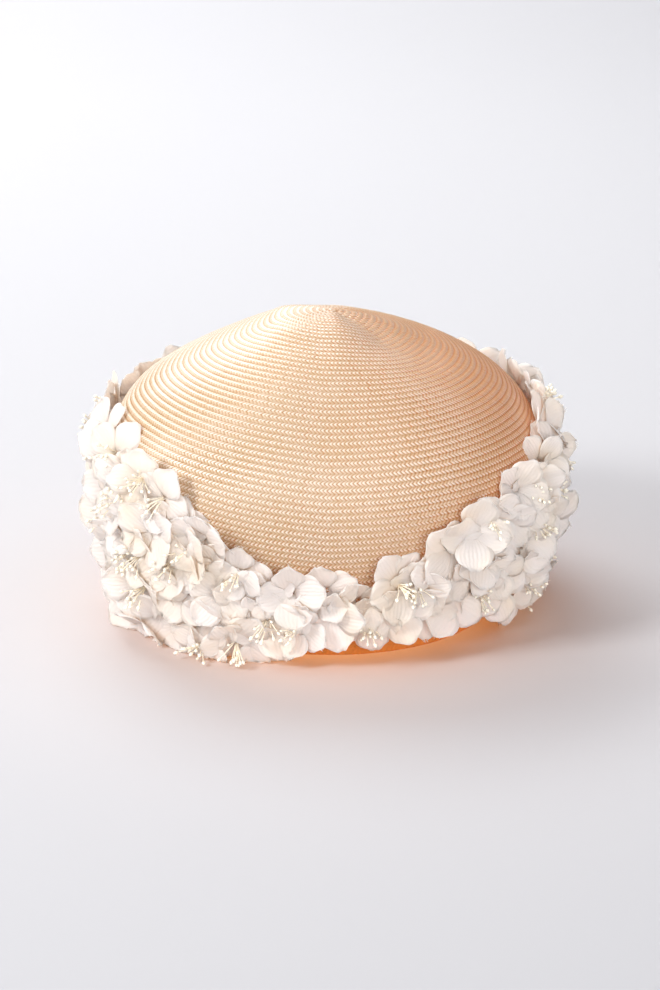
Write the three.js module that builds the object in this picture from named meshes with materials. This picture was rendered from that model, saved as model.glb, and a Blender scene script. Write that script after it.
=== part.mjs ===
// A blocked straw hat with a garland of cloth blossoms round its lower half.
// Units are millimetres and +Z is up. The photographed side faces -Y.
import * as THREE from "three";

// ---- the straw crown: named sizes ----
const CROWN_HEIGHT = 163;
const REACH_LEFT = 118.5; // widest point from the tip's axis, towards -X
const REACH_RIGHT = 113; // towards +X
const REACH_FRONT = 107; // towards -Y
const REACH_BACK = 122.5; // towards +Y
const TIP_X = 2; // the tip's axis, measured from the middle of the hat
const TIP_Y = -7.5;
const TIP_HALF_WIDTH = 27.5; // the small squarish plateau where the plait starts
const TIP_FRONT_DEPTH = 31; // from the plateau's middle to its front edge
const TIP_BACK_DEPTH = 22;
const TIP_SQUARENESS = 0.42; // 1 is an ellipse, 0 is a rectangle
const RIM_SQUARENESS = 0.92;
const OVAL_FROM_SECTION = 8; // below this section the plan eases into the rim's oval
const CORNER_DROP = 6; // the right front corner of the plateau sags by this much
const BACK_CORNER_DROP = 2.8; // the right back corner sags less
const CORNER_DROP_SECTIONS = 6.5; // over how many sections both sags die away
const STRAW_WALL = 1.6;
const RIM_WIDTH = 3; // the edge is turned in to this width and is flat underneath

// ---- the garland: named sizes ----
const BLOSSOM_DEPTH = 20; // from the straw to the tips of the petals
const BLOSSOM_CUP = 7; // how far the petal tips stand above the heart
const BLOSSOM_FILL = 0.99; // radius, as a share of half the way to the nearest neighbour
const BLOSSOM_BASE = 0.5; // radius where it sits on the straw, as a share of the full one
const BLOSSOM_BELLY = 0.94; // radius at half its depth
const BLOSSOM_THROAT = 0.55; // radius where the petals bend down to the heart
const PETAL_NOTCH = 0.76; // radius between two petals
const PETAL_ROUNDNESS = 0.6; // 1 is a pointed petal, 0 is a square one
const LIP_SHARE = 0.6; // how far down the cup the petals turn in, as a share of its depth
const PETALS = 4;
const BLOSSOM_TWIST = 0.9; // each blossom is turned this much further than the last, in radians
const SEAT_GAP = 0.35; // between the blossom and the straw
const HEAD_LIFT = 0.16; // turns drooping heads up towards the horizontal
const COLUMNS_ROUND = 20; // blossoms in one full loop

// ---- how finely the surfaces are divided ----
const SEGMENTS_ROUND_CROWN = 56;
const SEGMENTS_PER_PETAL = 4;
const NORMAL_STEP = 0.02; // sections and radians between the points that give a direction

// Sections of the crown, from the tip down to the rim. Each number is a share of the
// matching REACH_ size or, in the columns that end in Z, of CROWN_HEIGHT.
const SECTION_COLUMNS = ["left", "leftZ", "right", "rightZ", "front", "frontZ", "back", "backZ"];
const CROWN_SECTIONS = [
  [0, 1, 0, 1, 0, 1, 0, 1],
  [0.118, 0.998, 0.123, 0.986, 0.149, 0.997, 0.092, 0.992],
  [0.23, 0.985, 0.24, 0.962, 0.297, 0.981, 0.184, 0.973],
  [0.31, 0.955, 0.327, 0.94, 0.389, 0.957, 0.265, 0.953],
  [0.416, 0.917, 0.441, 0.905, 0.508, 0.924, 0.371, 0.924],
  [0.552, 0.868, 0.585, 0.86, 0.648, 0.867, 0.503, 0.879],
  [0.688, 0.818, 0.722, 0.804, 0.771, 0.796, 0.632, 0.828],
  [0.818, 0.763, 0.846, 0.739, 0.873, 0.711, 0.754, 0.768],
  [0.931, 0.692, 0.948, 0.658, 0.957, 0.618, 0.865, 0.698],
  [1, 0.6, 1, 0.562, 0.998, 0.515, 0.954, 0.613],
  [0.995, 0.493, 0.99, 0.458, 1, 0.408, 1, 0.513],
  [0.961, 0.376, 0.96, 0.344, 0.965, 0.291, 0.979, 0.395],
  [0.911, 0.247, 0.914, 0.228, 0.932, 0.193, 0.94, 0.262],
  [0.849, 0.12, 0.859, 0.113, 0.89, 0.096, 0.898, 0.131],
  [0.767, 0, 0.799, 0, 0.843, 0, 0.851, 0],
].map((shares) => Object.fromEntries(shares.map((share, at) => [SECTION_COLUMNS[at], share])));
const LAST_SECTION = CROWN_SECTIONS.length - 1;
const PLATEAU_SECTIONS = 2; // the plateau ends at this section

// The loops of the garland, by their first and last column. Half columns put one loop's
// blossoms between those of the next.
const GARLAND_LOOPS = [
  { name: "low", firstColumn: 0, lastColumn: 19 },
  { name: "mid", firstColumn: 2.5, lastColumn: 17.5 },
  { name: "top", firstColumn: 4, lastColumn: 16 },
];

// Heights of the loops, as shares of CROWN_HEIGHT, at columns counted from the
// photographed front towards the hat's right (+X). Column 20 is the front again.
const LOOP_HEIGHTS = [
  { column: 0, low: 0.185, mid: 0.35, top: 0.46 },
  { column: 2, low: 0.185, mid: 0.35, top: 0.46 },
  { column: 4, low: 0.16, mid: 0.33, top: 0.48 },
  { column: 6, low: 0.145, mid: 0.32, top: 0.49 },
  { column: 10, low: 0.135, mid: 0.32, top: 0.51 },
  { column: 14, low: 0.135, mid: 0.32, top: 0.5 },
  { column: 16, low: 0.135, mid: 0.31, top: 0.48 },
  { column: 18, low: 0.15, mid: 0.31, top: 0.46 },
  { column: 20, low: 0.185, mid: 0.35, top: 0.46 },
];

const smoothStep = (value) => {
  const t = Math.min(Math.max(value, 0), 1);
  return t * t * (3 - 2 * t);
};

const signedPower = (value, power) => Math.sign(value) * Math.abs(value) ** power;

// One column of the section table at a fractional section, on a smooth curve.
function sectionValue(column, section) {
  const start = Math.min(Math.floor(section), LAST_SECTION - 1);
  const t = section - start;
  const at = (index) => {
    if (index < 0) return 2 * CROWN_SECTIONS[0][column] - CROWN_SECTIONS[1][column];
    if (index > LAST_SECTION) {
      return 2 * CROWN_SECTIONS[LAST_SECTION][column] - CROWN_SECTIONS[LAST_SECTION - 1][column];
    }
    return CROWN_SECTIONS[index][column];
  };
  const [before, from, to, after] = [at(start - 1), at(start), at(start + 1), at(start + 2)];
  const linear = to - before;
  const square = 2 * before - 5 * from + 4 * to - after;
  const cube = 3 * from - before - 3 * to + after;
  return 0.5 * (2 * from + linear * t + square * t * t + cube * t * t * t);
}

// A point on the outside of the straw: heading 0 is +X, and section 0 is the tip.
function crownPoint(heading, section) {
  const c = Math.cos(heading);
  const s = Math.sin(heading);
  const [sideways, sidewaysReach] = c >= 0 ? ["right", REACH_RIGHT] : ["left", REACH_LEFT];
  const [lengthways, lengthwaysReach] = s < 0 ? ["front", REACH_FRONT] : ["back", REACH_BACK];
  const plateau = Math.min(section / PLATEAU_SECTIONS, 1);
  const plateauX = TIP_HALF_WIDTH * plateau;
  const plateauY = (s < 0 ? TIP_FRONT_DEPTH : TIP_BACK_DEPTH) * plateau;
  const reachX = sectionValue(sideways, section) * sidewaysReach - plateauX;
  const reachY = sectionValue(lengthways, section) * lengthwaysReach - plateauY;
  const run = reachX * c * c + reachY * s * s;
  const oval = smoothStep((section - OVAL_FROM_SECTION) / (LAST_SECTION - OVAL_FROM_SECTION));
  const squareness = TIP_SQUARENESS + (RIM_SQUARENESS - TIP_SQUARENESS) * oval;
  const squareX = signedPower(c, squareness);
  const squareY = signedPower(s, squareness);
  const heightX = sectionValue(`${sideways}Z`, section);
  const heightY = sectionValue(`${lengthways}Z`, section);
  const fade = 1 - smoothStep((section - PLATEAU_SECTIONS) / CORNER_DROP_SECTIONS);
  const drop = CORNER_DROP * smoothStep(-squareY) + BACK_CORNER_DROP * smoothStep(squareY);
  const sag = drop * smoothStep(squareX) * plateau * fade;
  return new THREE.Vector3(
    TIP_X + plateauX * squareX + run * c,
    TIP_Y + plateauY * squareY + run * s,
    CROWN_HEIGHT * (heightX * c * c + heightY * s * s) - sag,
  );
}

// The straw's outward direction at that point.
function crownNormal(heading, section) {
  const low = Math.max(section - NORMAL_STEP, NORMAL_STEP);
  const high = Math.min(section + NORMAL_STEP, LAST_SECTION);
  const down = crownPoint(heading, high).sub(crownPoint(heading, low));
  const before = crownPoint(heading - NORMAL_STEP, section);
  const round = crownPoint(heading + NORMAL_STEP, section).sub(before);
  return down.cross(round).normalize();
}

// The section of the crown where its outside reaches a given height.
function sectionAtHeight(heading, height) {
  let high = 0;
  let low = LAST_SECTION;
  for (let pass = 0; pass < 40; pass += 1) {
    const middle = (high + low) / 2;
    if (crownPoint(heading, middle).z > height) high = middle;
    else low = middle;
  }
  return (high + low) / 2;
}

// Closes a stack of rings, with a point below the first and one beyond the last.
function closedStack(firstPoint, rings, lastPoint) {
  const count = rings[0].length;
  const points = [firstPoint, ...rings.flat(), lastPoint];
  const last = points.length - 1;
  const index = (ring, step) => 1 + ring * count + (step % count);
  const faces = [];
  for (let step = 0; step < count; step += 1) {
    faces.push(0, index(0, step + 1), index(0, step));
    faces.push(last, index(rings.length - 1, step), index(rings.length - 1, step + 1));
    for (let ring = 0; ring < rings.length - 1; ring += 1) {
      const [a, b] = [index(ring, step), index(ring, step + 1)];
      const [c, d] = [index(ring + 1, step + 1), index(ring + 1, step)];
      faces.push(a, b, c, a, c, d);
    }
  }
  const geometry = new THREE.BufferGeometry();
  const flat = points.flatMap((point) => [point.x, point.y, point.z]);
  geometry.setAttribute("position", new THREE.Float32BufferAttribute(flat, 3));
  geometry.setIndex(faces);
  geometry.computeVertexNormals();
  return geometry;
}

// The hollow straw shell: down the outside, across the flat rim and up the inside.
function buildCrown() {
  const headings = Array.from(
    { length: SEGMENTS_ROUND_CROWN },
    (_, step) => (step / SEGMENTS_ROUND_CROWN) * 2 * Math.PI,
  );
  const outside = [];
  const inside = [];
  for (let section = 1; section <= LAST_SECTION; section += 1) {
    outside.push(headings.map((heading) => crownPoint(heading, section)));
    if (section < LAST_SECTION) {
      inside.push(headings.map((heading) => (
        crownPoint(heading, section).addScaledVector(crownNormal(heading, section), -STRAW_WALL)
      )));
    }
  }
  const rimInside = headings.map((heading) => {
    const point = crownPoint(heading, LAST_SECTION);
    const inward = new THREE.Vector3(TIP_X - point.x, -point.y, 0).normalize();
    return point.addScaledVector(inward, RIM_WIDTH);
  });
  const tip = new THREE.Vector3(TIP_X, TIP_Y, CROWN_HEIGHT);
  const tipInside = tip.clone().setZ(CROWN_HEIGHT - STRAW_WALL);
  const rings = [...outside, rimInside, ...inside.reverse()];
  return closedStack(tip, rings.map((ring) => ring.slice().reverse()), tipInside);
}

// Height of a garland loop at a column.
function loopHeight(loop, column) {
  const next = LOOP_HEIGHTS.findIndex((row) => row.column > column);
  const [from, to] = [LOOP_HEIGHTS[next - 1], LOOP_HEIGHTS[next]];
  const share = smoothStep((column - from.column) / (to.column - from.column));
  return CROWN_HEIGHT * (from[loop.name] + (to[loop.name] - from[loop.name]) * share);
}

// Where each blossom sits on the straw and which way it faces.
function placeBlossoms() {
  const places = [];
  for (const loop of GARLAND_LOOPS) {
    for (let column = loop.firstColumn; column <= loop.lastColumn; column += 1) {
      const heading = (column / COLUMNS_ROUND) * 2 * Math.PI - Math.PI / 2;
      const section = sectionAtHeight(heading, loopHeight(loop, column));
      const normal = crownNormal(heading, section);
      const facing = normal.clone();
      facing.z += HEAD_LIFT;
      facing.normalize();
      const foot = crownPoint(heading, section).addScaledVector(normal, SEAT_GAP);
      const middle = foot.clone().addScaledVector(facing, BLOSSOM_DEPTH / 2);
      const number = String(column - loop.firstColumn + 1).padStart(2, "0");
      places.push({ name: `blossom_${loop.name}_${number}`, normal, facing, foot, middle });
    }
  }
  for (const place of places) {
    const others = places.filter((other) => other !== place);
    const nearest = Math.min(...others.map((other) => place.middle.distanceTo(other.middle)));
    place.radius = (nearest / 2) * BLOSSOM_FILL;
  }
  return places;
}

// One four-petalled blossom: a full calyx that opens to cupped petals round its heart.
function buildBlossom(place, turn) {
  const count = PETALS * SEGMENTS_PER_PETAL;
  const ring = (facing, share, rise, notch) => {
    const side = new THREE.Vector3(0, 0, 1).cross(facing).normalize();
    const up = facing.clone().cross(side);
    return Array.from({ length: count }, (_, step) => {
      const around = turn + (step / count) * 2 * Math.PI;
      const acrossPetal = (step % SEGMENTS_PER_PETAL) / SEGMENTS_PER_PETAL;
      const lobe = notch + (1 - notch) * Math.sin(acrossPetal * Math.PI) ** PETAL_ROUNDNESS;
      const reach = place.radius * share * lobe;
      return place.foot.clone()
        .addScaledVector(side, Math.cos(around) * reach)
        .addScaledVector(up, Math.sin(around) * reach)
        .addScaledVector(facing, rise);
    });
  };
  const heartRise = BLOSSOM_DEPTH - BLOSSOM_CUP;
  const rings = [
    ring(place.normal, BLOSSOM_BASE, 0, 1),
    ring(place.facing, BLOSSOM_BELLY, BLOSSOM_DEPTH / 2, (1 + PETAL_NOTCH) / 2),
    ring(place.facing, 1, BLOSSOM_DEPTH, PETAL_NOTCH),
    ring(place.facing, BLOSSOM_THROAT, BLOSSOM_DEPTH - LIP_SHARE * BLOSSOM_CUP, 1),
  ];
  return closedStack(place.foot, rings, place.foot.clone().addScaledVector(place.facing, heartRise));
}

function namedMesh(name, geometry, color, roughness) {
  const material = new THREE.MeshStandardMaterial({ color, roughness, name });
  const mesh = new THREE.Mesh(geometry, material);
  mesh.name = name;
  return mesh;
}

function buildGarland() {
  return placeBlossoms().map((place, index) => (
    namedMesh(place.name, buildBlossom(place, BLOSSOM_TWIST * index), 0xf4efe8, 0.8)
  ));
}

// Moves everything so that the hat stands on Z = 0 and its outline is centred on the axis.
function centreOnFloor(meshes) {
  const box = new THREE.Box3();
  for (const mesh of meshes) {
    mesh.geometry.computeBoundingBox();
    box.union(mesh.geometry.boundingBox);
  }
  const middle = box.getCenter(new THREE.Vector3());
  for (const mesh of meshes) {
    mesh.geometry.translate(-middle.x, -middle.y, -box.min.z);
  }
}

const hat = new THREE.Group();
hat.name = "straw_hat_with_blossoms";
const pieces = [namedMesh("crown", buildCrown(), 0xe8c9a4, 0.55), ...buildGarland()];
centreOnFloor(pieces);
hat.add(...pieces);

export default hat;
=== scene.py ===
"""A blocked straw hat with a garland of cloth blossoms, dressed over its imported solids."""

import logging
import math
import random
from dataclasses import dataclass
from enum import Enum
from typing import Any, NamedTuple, Sequence

import bpy
import numpy as np
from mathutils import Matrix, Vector

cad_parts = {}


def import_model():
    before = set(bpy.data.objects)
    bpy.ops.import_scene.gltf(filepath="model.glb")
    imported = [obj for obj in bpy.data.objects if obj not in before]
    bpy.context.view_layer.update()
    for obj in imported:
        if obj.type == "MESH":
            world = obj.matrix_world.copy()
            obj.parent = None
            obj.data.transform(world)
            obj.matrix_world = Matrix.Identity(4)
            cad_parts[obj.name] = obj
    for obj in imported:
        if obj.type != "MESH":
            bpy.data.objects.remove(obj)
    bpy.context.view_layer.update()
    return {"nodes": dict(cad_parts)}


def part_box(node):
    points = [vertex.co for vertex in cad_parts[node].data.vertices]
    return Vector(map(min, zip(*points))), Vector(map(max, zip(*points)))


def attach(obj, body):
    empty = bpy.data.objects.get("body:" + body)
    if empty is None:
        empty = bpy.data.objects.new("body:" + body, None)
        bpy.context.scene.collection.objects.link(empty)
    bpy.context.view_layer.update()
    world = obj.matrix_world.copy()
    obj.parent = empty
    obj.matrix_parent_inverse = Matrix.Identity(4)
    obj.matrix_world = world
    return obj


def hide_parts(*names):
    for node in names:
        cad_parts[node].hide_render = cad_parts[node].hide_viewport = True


Array = np.ndarray
Socket = bpy.types.NodeSocket
Tree = bpy.types.NodeTree
Material = bpy.types.Material
Piece = bpy.types.Object
Faces = Array | list[tuple[int, ...]]
Place = tuple[float, float, float]
Span = tuple[float, float]

MM = 0.001
FULL_TURN = 2 * math.pi
ANY_TURN: Span = (0, FULL_TURN)
UPWARD = np.array([0.0, 0.0, 1.0])
SLANT = (0.3, 0.5, 0.8)  # a direction that no stamen or thread runs along
BEND_SLANT = (0.4, 0.3, 0.8)  # and another, for the way a loose thread bends
PLACES = "own_places"  # the texture places of one strand or one petal
LOG = logging.getLogger("straw_hat")


def linear_colour(hex_colour: str) -> tuple[float, float, float, float]:
    """Turns an sRGB hex colour into the linear colour that a shader takes.

    Args:
        hex_colour: six hex digits after a hash sign.

    Returns:
        Linear red, green and blue, and an alpha of one.
    """
    digits = hex_colour.lstrip("#")
    parts = [int(digits[start:start + 2], 16) / 255 for start in (0, 2, 4)]
    red, green, blue = (c / 12.92 if c <= 0.04045 else ((c + 0.055) / 1.055) ** 2.4 for c in parts)
    return red, green, blue, 1.0


def smooth_step(value: Array | float) -> Array:
    """Eases a share from 0 to 1 with level ends."""
    share = np.clip(value, 0.0, 1.0)
    return share * share * (3.0 - 2.0 * share)


def unit(vectors: Array) -> Array:
    """Scales the last axis of an array of vectors to length one."""
    return vectors / np.maximum(np.linalg.norm(vectors, axis=-1, keepdims=True), 1e-12)


def ring_round(direction: Array, slant: Sequence[float], turns: Array) -> Array:
    """Gives a circle's points round the origin, square to a direction.

    Args:
        direction: the unit direction.
        slant: any vector that isn't along the direction.
        turns: angles round the circle, in radians.

    Returns:
        A unit vector for each angle.
    """
    first = unit(np.cross(direction, slant))
    second = np.cross(direction, first)
    return first * np.cos(turns)[:, None] + second * np.sin(turns)[:, None]


def tube_faces(rings: int, sides: int) -> list[tuple[int, ...]]:
    """Gives the quads of a tube whose rings have the same number of points."""
    return [(i * sides + j, i * sides + (j + 1) % sides,
             (i + 1) * sides + (j + 1) % sides, (i + 1) * sides + j)
            for i in range(rings - 1) for j in range(sides)]


def repeated(template: Array, size: int, count: int) -> Array:
    """Gives the faces of many copies of one small form.

    Args:
        template: the quads of one copy.
        size: how many points a copy has.
        count: how many copies there are.

    Returns:
        The quads of all copies.
    """
    return (template[None] + size * np.arange(count)[:, None, None]).reshape(-1, 4)


def new_material(name: str) -> tuple[Material, Tree]:
    """Makes an empty node material.

    Args:
        name: the material's name, in a maker's words.

    Returns:
        The material and its cleared node tree.
    """
    material = bpy.data.materials.new(name)
    material.use_nodes = True
    material.node_tree.nodes.clear()
    return material, material.node_tree


def add_node(tree: Tree, kind: str, settings: dict[str | int, Any] | None = None,
             links: dict[str | int, Socket] | None = None) -> bpy.types.Node:
    """Adds a node with its settings and links.

    Args:
        tree: the tree that gets the node.
        kind: the node's Blender type, without its first word.
        settings: values by input name or number, or by property name.
        links: sockets to join to the node's inputs.

    Returns:
        The new node.
    """
    node = tree.nodes.new(f"ShaderNode{kind}")
    for key, value in (settings or {}).items():
        if isinstance(key, int) or key in node.inputs:
            node.inputs[key].default_value = value
        else:
            setattr(node, key, value)
    for key, socket in (links or {}).items():
        tree.links.new(socket, node.inputs[key])
    return node


def object_places(tree: Tree) -> Socket:
    """Gives the places on the object itself, for grain that doesn't move when it turns."""
    return add_node(tree, "TexCoord").outputs["Object"]


def own_places(tree: Tree) -> Socket:
    """Gives the places on one strand or one petal."""
    return add_node(tree, "UVMap", {"uv_map": PLACES}).outputs["UV"]


def mottle(tree: Tree, place: Socket, grain_mm: float, detail: float = 1.0) -> Socket:
    """Gives soft noise with grains of a size in millimetres."""
    return add_node(tree, "TexNoise", {"Scale": 1 / (grain_mm * MM), "Detail": detail},
                    {"Vector": place}).outputs["Fac"]


def stripes(tree: Tree, place: Socket, apart_mm: float, axis: str, distortion: float,
            detail: float, detail_scale: float) -> Socket:
    """Gives wavy stripes on texture places that are in millimetres.

    Args:
        tree: the material's tree.
        place: the texture places.
        apart_mm: the distance from stripe to stripe.
        axis: the axis that they follow each other along.
        distortion: how wavy they are.
        detail: how much fine waviness they have.
        detail_scale: the size of the waviness.

    Returns:
        The stripes' strength.
    """
    return add_node(tree, "TexWave",
                    {"Scale": FULL_TURN / (20 * apart_mm), "bands_direction": axis,
                     "Distortion": distortion, "Detail": detail, "Detail Scale": detail_scale},
                    {"Vector": place}).outputs["Fac"]


def sum_of(tree: Tree, operation: str, *terms: Socket | float, clamp: bool = False) -> Socket:
    """Works out a sum in a material.

    Args:
        tree: the material's tree.
        operation: the Math node's operation.
        terms: its inputs, as sockets or numbers.
        clamp: whether the result stays between 0 and 1.

    Returns:
        The result.
    """
    numbers = {place: term for place, term in enumerate(terms) if isinstance(term, float)}
    sockets = {place: term for place, term in enumerate(terms) if place not in numbers}
    return add_node(tree, "Math", {"operation": operation, "use_clamp": clamp, **numbers},
                    sockets).outputs["Value"]


def share_between(tree: Tree, value: Socket, low: float, high: float, top: float = 1.0) -> Socket:
    """Turns a value between two limits into a share from 0 to a top."""
    return add_node(tree, "MapRange", {"From Min": low, "From Max": high, "To Max": top},
                    {"Value": value}).outputs["Result"]


def mixed_colour(tree: Tree, share: Socket, first: Socket | str, second: Socket | str) -> Socket:
    """Mixes two colours in a material.

    Args:
        tree: the material's tree.
        share: how much of the second colour shows.
        first: a socket or a hex colour.
        second: a socket or a hex colour.

    Returns:
        The mixed colour.
    """
    settings: dict[str | int, Any] = {"data_type": "RGBA"}
    links = {0: share}
    for place, colour in ((6, first), (7, second)):
        if isinstance(colour, str):
            settings[place] = linear_colour(colour)
        else:
            links[place] = colour
    return add_node(tree, "Mix", settings, links).outputs[2]


def relief(tree: Tree, height: Socket, strength: float, depth_mm: float) -> Socket:
    """Gives the normal of a fine relief of a depth in millimetres."""
    return add_node(tree, "Bump", {"Strength": strength, "Distance": depth_mm * MM},
                    {"Height": height}).outputs["Normal"]


def join_output(tree: Tree, surface: Socket) -> None:
    """Joins a shader to the material's output."""
    add_node(tree, "OutputMaterial", None, {"Surface": surface})


def join_thin(tree: Tree, body: bpy.types.Node, glow: str, see_through: float) -> None:
    """Lets some light through a lit surface and joins both to the output.

    Args:
        tree: the material's tree.
        body: the lit surface's shader.
        glow: the colour of the light that comes through.
        see_through: its share.
    """
    through = add_node(tree, "BsdfTranslucent", {"Color": linear_colour(glow)})
    mixed = add_node(tree, "MixShader", {0: see_through},
                     {1: body.outputs["BSDF"], 2: through.outputs["BSDF"]})
    join_output(tree, mixed.outputs["Shader"])


def make_mesh(name: str, points: Array, faces: Faces, material: Material,
              uv: Array | None = None, flat: Array | None = None) -> Piece:
    """Makes a smooth-shaded object from points in millimetres.

    Args:
        name: the piece's name.
        points: vertex places in millimetres, in the shared frame.
        faces: vertex numbers of each face.
        material: the piece's only material.
        uv: a texture place for each vertex, if the material needs one.
        flat: true for each face that stays flat, such as a cut edge.

    Returns:
        The linked object, in metres.
    """
    mesh = bpy.data.meshes.new(name)
    face_list = faces.tolist() if isinstance(faces, np.ndarray) else faces
    mesh.from_pydata((points * MM).tolist(), [], face_list)
    mesh.materials.append(material)
    mesh.shade_smooth()
    if flat is not None:
        mesh.polygons.foreach_set("use_smooth", ~flat)
    if uv is not None:
        layer = mesh.uv_layers.new(name=PLACES)
        corners = np.empty(len(mesh.loops), dtype=np.int32)
        mesh.loops.foreach_get("vertex_index", corners)
        layer.data.foreach_set("uv", uv[corners].astype(np.float32).ravel())
    piece = bpy.data.objects.new(name, mesh)
    bpy.context.scene.collection.objects.link(piece)
    return piece


class Section(NamedTuple):
    """One section of the crown: shares of its reaches and of its height."""

    left: float
    left_z: float
    right: float
    right_z: float
    front: float
    front_z: float
    back: float
    back_z: float


SECTIONS = (
    Section(0.000, 1.000, 0.000, 1.000, 0.000, 1.000, 0.000, 1.000),
    Section(0.118, 0.998, 0.123, 0.986, 0.149, 0.997, 0.092, 0.992),
    Section(0.230, 0.985, 0.240, 0.962, 0.297, 0.981, 0.184, 0.973),
    Section(0.310, 0.955, 0.327, 0.940, 0.389, 0.957, 0.265, 0.953),
    Section(0.416, 0.917, 0.441, 0.905, 0.508, 0.924, 0.371, 0.924),
    Section(0.552, 0.868, 0.585, 0.860, 0.648, 0.867, 0.503, 0.879),
    Section(0.688, 0.818, 0.722, 0.804, 0.771, 0.796, 0.632, 0.828),
    Section(0.818, 0.763, 0.846, 0.739, 0.873, 0.711, 0.754, 0.768),
    Section(0.931, 0.692, 0.948, 0.658, 0.957, 0.618, 0.865, 0.698),
    Section(1.000, 0.600, 1.000, 0.562, 0.998, 0.515, 0.954, 0.613),
    Section(0.995, 0.493, 0.990, 0.458, 1.000, 0.408, 1.000, 0.513),
    Section(0.961, 0.376, 0.960, 0.344, 0.965, 0.291, 0.979, 0.395),
    Section(0.911, 0.247, 0.914, 0.228, 0.932, 0.193, 0.940, 0.262),
    Section(0.849, 0.120, 0.859, 0.113, 0.890, 0.096, 0.898, 0.131),
    Section(0.767, 0.000, 0.799, 0.000, 0.843, 0.000, 0.851, 0.000),
)


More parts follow.
